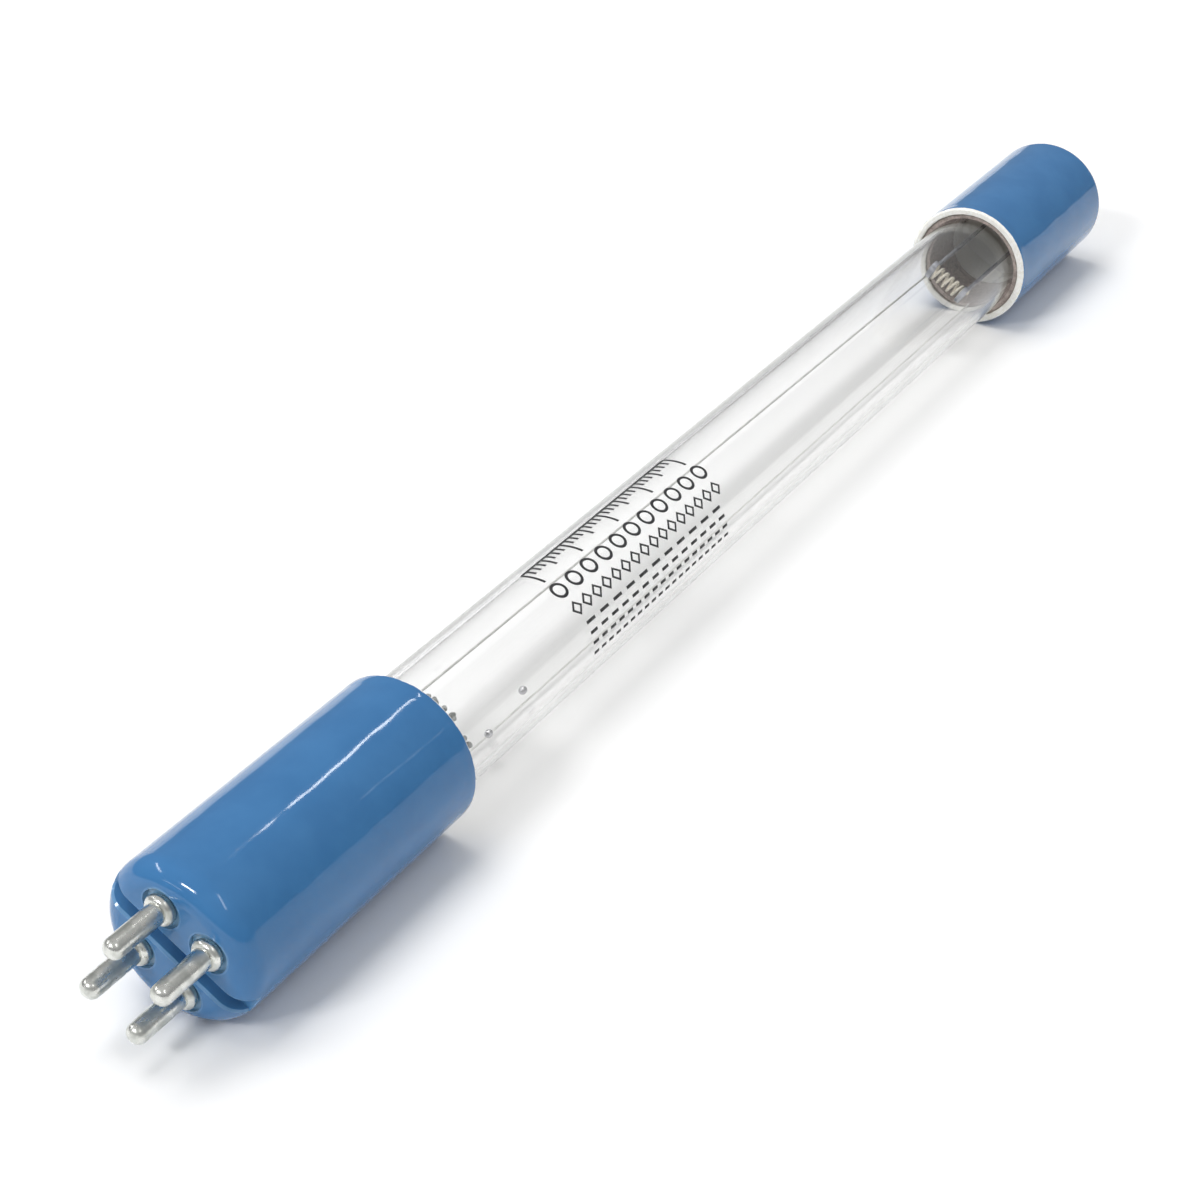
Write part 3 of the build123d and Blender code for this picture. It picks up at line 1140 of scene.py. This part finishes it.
@dataclass
class RimCrumbs:
    """Crumbs of cement squeezed out between the base and the tube.

    Each spot is an angle up from the +Y side and a distance from the rim in millimetres.
    """

    lamp: LampFrame
    spots: tuple[tuple[float, float], ...] = (
        (109.5, 1.0), (115.0, 1.2), (117.5, 1.0), (125.5, 1.3),
        (133.5, 1.5), (136.0, 1.4), (153.5, 1.2), (160.5, 1.4),
    )
    seed: int = 7
    size: Span = (0.3 * MM, 0.38 * MM)
    squat: float = 0.8
    tail: float = 2.2
    lump_scale: float = 1900.0
    lump_share: float = 0.45
    subdivisions: int = 3

    def build(self, material: bpy.types.Material) -> bpy.types.Object:
        """Make the crumbs, each with a tail that runs back under the rim.

        Args:
            material: The cement.

        Returns:
            The piece.
        """
        draw = random.Random(self.seed)
        mesh = bmesh.new()
        for angle, reach in self.spots:
            size = draw.uniform(*self.size)
            tip = self.lamp.base_rim_x + reach * MM
            centre = self.lamp.round_point(tip, self.lamp.tube_radius + size * self.squat, angle)
            made = bmesh.ops.create_icosphere(mesh, subdivisions=self.subdivisions, radius=size)
            for vert in made["verts"]:
                push = 1.0 + self.lump_share * noise.noise((vert.co + centre) * self.lump_scale)
                along = self.tail if vert.co.x < 0.0 else 1.0
                vert.co = centre + Vector((vert.co.x * along, vert.co.y, vert.co.z)) * push
        return mesh_piece("rim_crumbs", mesh, material)


class Metal(Enum):
    """Metals of the lamp and how each is finished."""

    PIN = HandledMetal("plated_pin", tone(226, 227, 222), tone(194, 196, 190), (0.24, 0.4), 0.0006 * MM)
    WIRE = HandledMetal(
        "nickel_wire", tone(236, 236, 233), tone(216, 216, 213), (0.5, 0.65), 0.001 * MM, 0.45
    )
    SUPPORT = HandledMetal(
        "support_wire", tone(166, 168, 175), tone(128, 130, 137), (0.45, 0.65), 0.002 * MM, 0.65
    )
    FOIL = HandledMetal("molybdenum_foil", tone(196, 196, 199), tone(166, 166, 170), (0.3, 0.5))
    MERCURY = HandledMetal("mercury", tone(196, 196, 199), tone(178, 178, 182), (0.12, 0.2), 0.0005 * MM)


class Mineral(Enum):
    """Rough minerals of the lamp and how each is finished."""

    CEMENT = Gritty("brown_cement", tone(196, 182, 176), tone(150, 138, 132), 3000.0, 0.08 * MM)
    CRUMBS = Gritty("grey_cement", tone(182, 184, 182), tone(138, 140, 138), 2600.0, 0.08 * MM)
    COAT = Gritty("coil_coat", tone(226, 220, 206), tone(186, 180, 166), 5200.0, 0.03 * MM)


@dataclass
class Dressing:
    """Finishes for the solids that stay in view."""

    lamp: LampFrame
    effects: Effects
    bore_radius: float = 8.3 * MM
    base_depth: float = 32.0 * MM
    cap_depth: float = 29.4 * MM
    brown: Colour = tone(92, 78, 62)
    grey: Colour = tone(120, 112, 102)
    pins: int = 4
    wires: int = 2
    finishes: dict[str, bpy.types.Material] = field(default_factory=dict)

    def _glaze(self) -> None:
        """Put the glaze on the base and on the end cap."""
        lamp = self.lamp
        edges = FaceEdges(lamp.face_x, lamp.axis_height, lamp.roll)
        bore = self.bore_radius
        base = CapGlaze("base_glaze", lamp.base_rim_x, -1.0, bore, self.base_depth, self.grey, edges)
        cap = CapGlaze("cap_glaze", lamp.end_rim_x, 1.0, bore, self.cap_depth, self.brown)
        self._dress("pin_base", base.build(self.effects))
        self._dress("end_cap", cap.build(self.effects))

    def build(self) -> None:
        """Make the finishes and put them on the solids."""
        lamp = self.lamp
        quartz = ClearQuartz(lamp.base_rim_x, lamp.end_rim_x, lamp.axis_height, lamp.tube_radius)
        self.finishes = {kind.name: kind.value.build(self.effects) for kind in (*Metal, *Mineral)}
        self.finishes["QUARTZ"] = quartz.build(self.effects)
        self.finishes["INK"] = PrintInk().build(self.effects)
        self._glaze()
        self._dress("base_cement", self.finishes["CRUMBS"])
        self._dress("end_cement", self.finishes["CEMENT"])
        self._dress("mercury_beads", self.finishes["MERCURY"])
        for number in range(1, self.pins + 1):
            self._dress(f"contact_pin_{number}", self.finishes["PIN"])
        for number in range(1, self.wires + 1):
            for place in ("base", "end"):
                self._dress(f"{place}_support_{number}", self.finishes["SUPPORT"])
                self._dress(f"{place}_foil_{number}", self.finishes["FOIL"])
            self._dress(f"base_lead_{number}", self.finishes["WIRE"])
            self._dress(f"return_wire_{number}", self.finishes["WIRE"])

    @staticmethod
    def _dress(node: str, material: bpy.types.Material) -> None:
        """Put a finish on one solid.

        Args:
            node: The solid's node.
            material: The finish.
        """
        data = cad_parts[node].data
        data.materials.clear()
        data.materials.append(material)
        log.info("%s: finished as %s", node, material.name)


@dataclass(frozen=True)
class SoftLight:
    """An area lamp of the studio that is aimed at the origin."""

    name: str
    place: tuple[float, float, float]
    size: tuple[float, float]
    watts: float
    along: tuple[float, float, float] = (0.0, 1.0, 0.0)
    mirrored: bool = True

    def build(self) -> None:
        """Hang the lamp, its length turned along its own way."""
        data = bpy.data.lights.new(self.name, "AREA")
        data.shape = "RECTANGLE"
        data.size, data.size_y = self.size
        data.energy = self.watts
        lamp = bpy.data.objects.new(self.name, data)
        back = Vector(self.place).normalized()
        side = Vector(self.along).cross(back).normalized()
        lamp.matrix_world = Matrix((side, back.cross(side), back)).transposed().to_4x4()
        lamp.location = self.place
        lamp.visible_glossy = self.mirrored
        bpy.context.scene.collection.objects.link(lamp)


@dataclass
class Studio:
    """Pale floor, soft lamps, plain world and the camera."""

    floor_half: float = 4.0
    floor_cells: int = 8
    floor_reach: float = 15.0
    floor_drop: float = 0.02 * MM
    floor_tone: Colour = (0.95, 0.95, 0.95)
    floor_roughness: float = 0.9
    floor_lift: float = 0.02
    far_lift: float = 0.7
    far_start: float = 0.6
    far_end: float = 2.4
    horizon: Colour = (0.27, 0.275, 0.28)
    zenith: Colour = (0.54, 0.54, 0.54)
    zenith_foot: float = 0.9
    pale: Colour = (1.0, 1.0, 1.0)
    haze_foot: float = 0.008
    haze_top: float = 0.03
    camera_place: tuple[float, float, float] = (-0.230632, -0.124063, 0.157407)
    camera_down: float = 32.3738
    camera_turn: float = -58.4921
    camera_angle: float = 29.505
    camera_near: float = 0.01
    lights: tuple[SoftLight, ...] = (
        SoftLight("top_light", (0.1, 0.56, 1.92), (1.2, 1.2), 17.2, mirrored=False),
        SoftLight("side_light", (-1.5, 0.34, 1.28), (0.22, 0.5), 12.0, (-0.04, -0.23, 0.01)),
        SoftLight("low_strip", (-1.66, 0.88, 0.69), (0.05, 0.65), 0.6, (-0.15, -0.3, 0.02)),
        SoftLight("strip_light", (0.912, 0.068, 1.266), (0.055, 0.165), 0.48, (0.116, 0.13, -0.081)),
        SoftLight("faint_strip", (0.93, -0.96, 0.79), (0.03, 0.07), 0.014, (0.116, 0.0, -0.12)),
        SoftLight("right_strip", (-0.33, -1.09, 1.64), (0.2, 0.9), 2.9, (-0.39, -0.32, -0.28)),
        SoftLight("back_strip", (-0.57, 1.54, 1.14), (0.09, 0.9), 3.0, (-0.42, -0.15, 0.0)),
    )

    def build(self) -> None:
        """Make the floor, the world, the lamps and the camera."""
        self._floor()
        self._world()
        for light in self.lights:
            light.build()
        self._camera()

    @staticmethod
    def _shown_rays(sheet: NodeSheet) -> Socket:
        """Give 1 for rays that show the background: seen, mirrored or through glass.

        Args:
            sheet: The sheet of the floor or the world.

        Returns:
            The socket with the mask.
        """
        path = sheet.node("ShaderNodeLightPath")
        seen = sheet.calc("MAXIMUM", path.outputs["Is Camera Ray"], path.outputs["Is Glossy Ray"])
        return sheet.calc("MAXIMUM", seen, path.outputs["Is Transmission Ray"])

    def _floor_finish(self) -> bpy.types.Material:
        """Make the floor's finish, white where nothing shades it and still white far from the lamps.

        Returns:
            The material.
        """
        made, sheet, shader = new_material("pale_floor")
        away = sheet.node("ShaderNodeVectorMath", {0: sheet.place()}, operation="LENGTH")
        far = sheet.span(away.outputs["Value"], self.far_start, self.far_end)
        lift = sheet.calc("ADD", sheet.times(far, self.far_lift), self.floor_lift)
        sheet.fill(shader, {
            "Base Color": self.floor_tone,
            "Roughness": self.floor_roughness,
            "Specular IOR Level": 0.0,
            "Emission Color": self.pale,
            "Emission Strength": sheet.times(self._shown_rays(sheet), lift),
        })
        return made

    def _floor(self) -> None:
        """Make the floor, fine near the lamp, with a border that reaches the horizon."""
        mesh = bmesh.new()
        cells = self.floor_cells
        bmesh.ops.create_grid(mesh, x_segments=cells, y_segments=cells, size=self.floor_half)
        for vert in mesh.verts:
            if vert.is_boundary:
                vert.co *= self.floor_reach
        data = bpy.data.meshes.new("floor")
        mesh.to_mesh(data)
        mesh.free()
        data.materials.append(self._floor_finish())
        floor = bpy.data.objects.new("floor", data)
        floor.location.z = -self.floor_drop
        bpy.context.scene.collection.objects.link(floor)

    def _world(self) -> None:
        """Make a plain world, dimmer low down than overhead, whose foot looks as pale as the floor."""
        world = bpy.data.worlds.new("studio")
        world.use_nodes = True
        sheet = NodeSheet(world.node_tree)
        _, _, height = sheet.split(sheet.node("ShaderNodeTexCoord").outputs["Generated"])
        sky = sheet.mix(sheet.span(height, 0.0, self.zenith_foot), self.horizon, self.zenith)
        haze = sheet.times(sheet.span(height, self.haze_top, self.haze_foot), self._shown_rays(sheet))
        sky = sheet.mix(haze, sky, self.pale)
        sheet.feed(sky, world.node_tree.nodes["Background"].inputs["Color"])
        bpy.context.scene.world = world

    def _camera(self) -> None:
        """Set the camera at the photograph's angle."""
        data = bpy.data.cameras.new("camera")
        data.angle = math.radians(self.camera_angle)
        data.clip_start = self.camera_near
        camera = bpy.data.objects.new("camera", data)
        camera.location = self.camera_place
        camera.rotation_euler = (math.radians(90 - self.camera_down), 0.0, math.radians(self.camera_turn))
        bpy.context.scene.collection.objects.link(camera)
        bpy.context.scene.camera = camera


def main() -> None:
    """Build the dressed lamp and its studio."""
    logging.basicConfig(level=logging.INFO, format="%(name)s %(message)s")
    bpy.context.scene.view_settings.view_transform = "Standard"
    lamp = LampFrame.read()
    effects = Effects(lamp.axis_height)
    dressing = Dressing(lamp, effects)
    dressing.build()
    QuartzEnvelope(lamp).build(dressing.finishes["QUARTZ"])
    CoilCathode(lamp, "end_cathode", "end_coil").build(dressing.finishes["COAT"])
    CoilCathode(lamp, "base_cathode", "base_coil").build(dressing.finishes["COAT"])
    RimCrumbs(lamp).build(dressing.finishes["CRUMBS"])
    TubePrint(lamp).build(dressing.finishes["INK"])
    Studio().build()


if __name__ == "__main__":
    main()
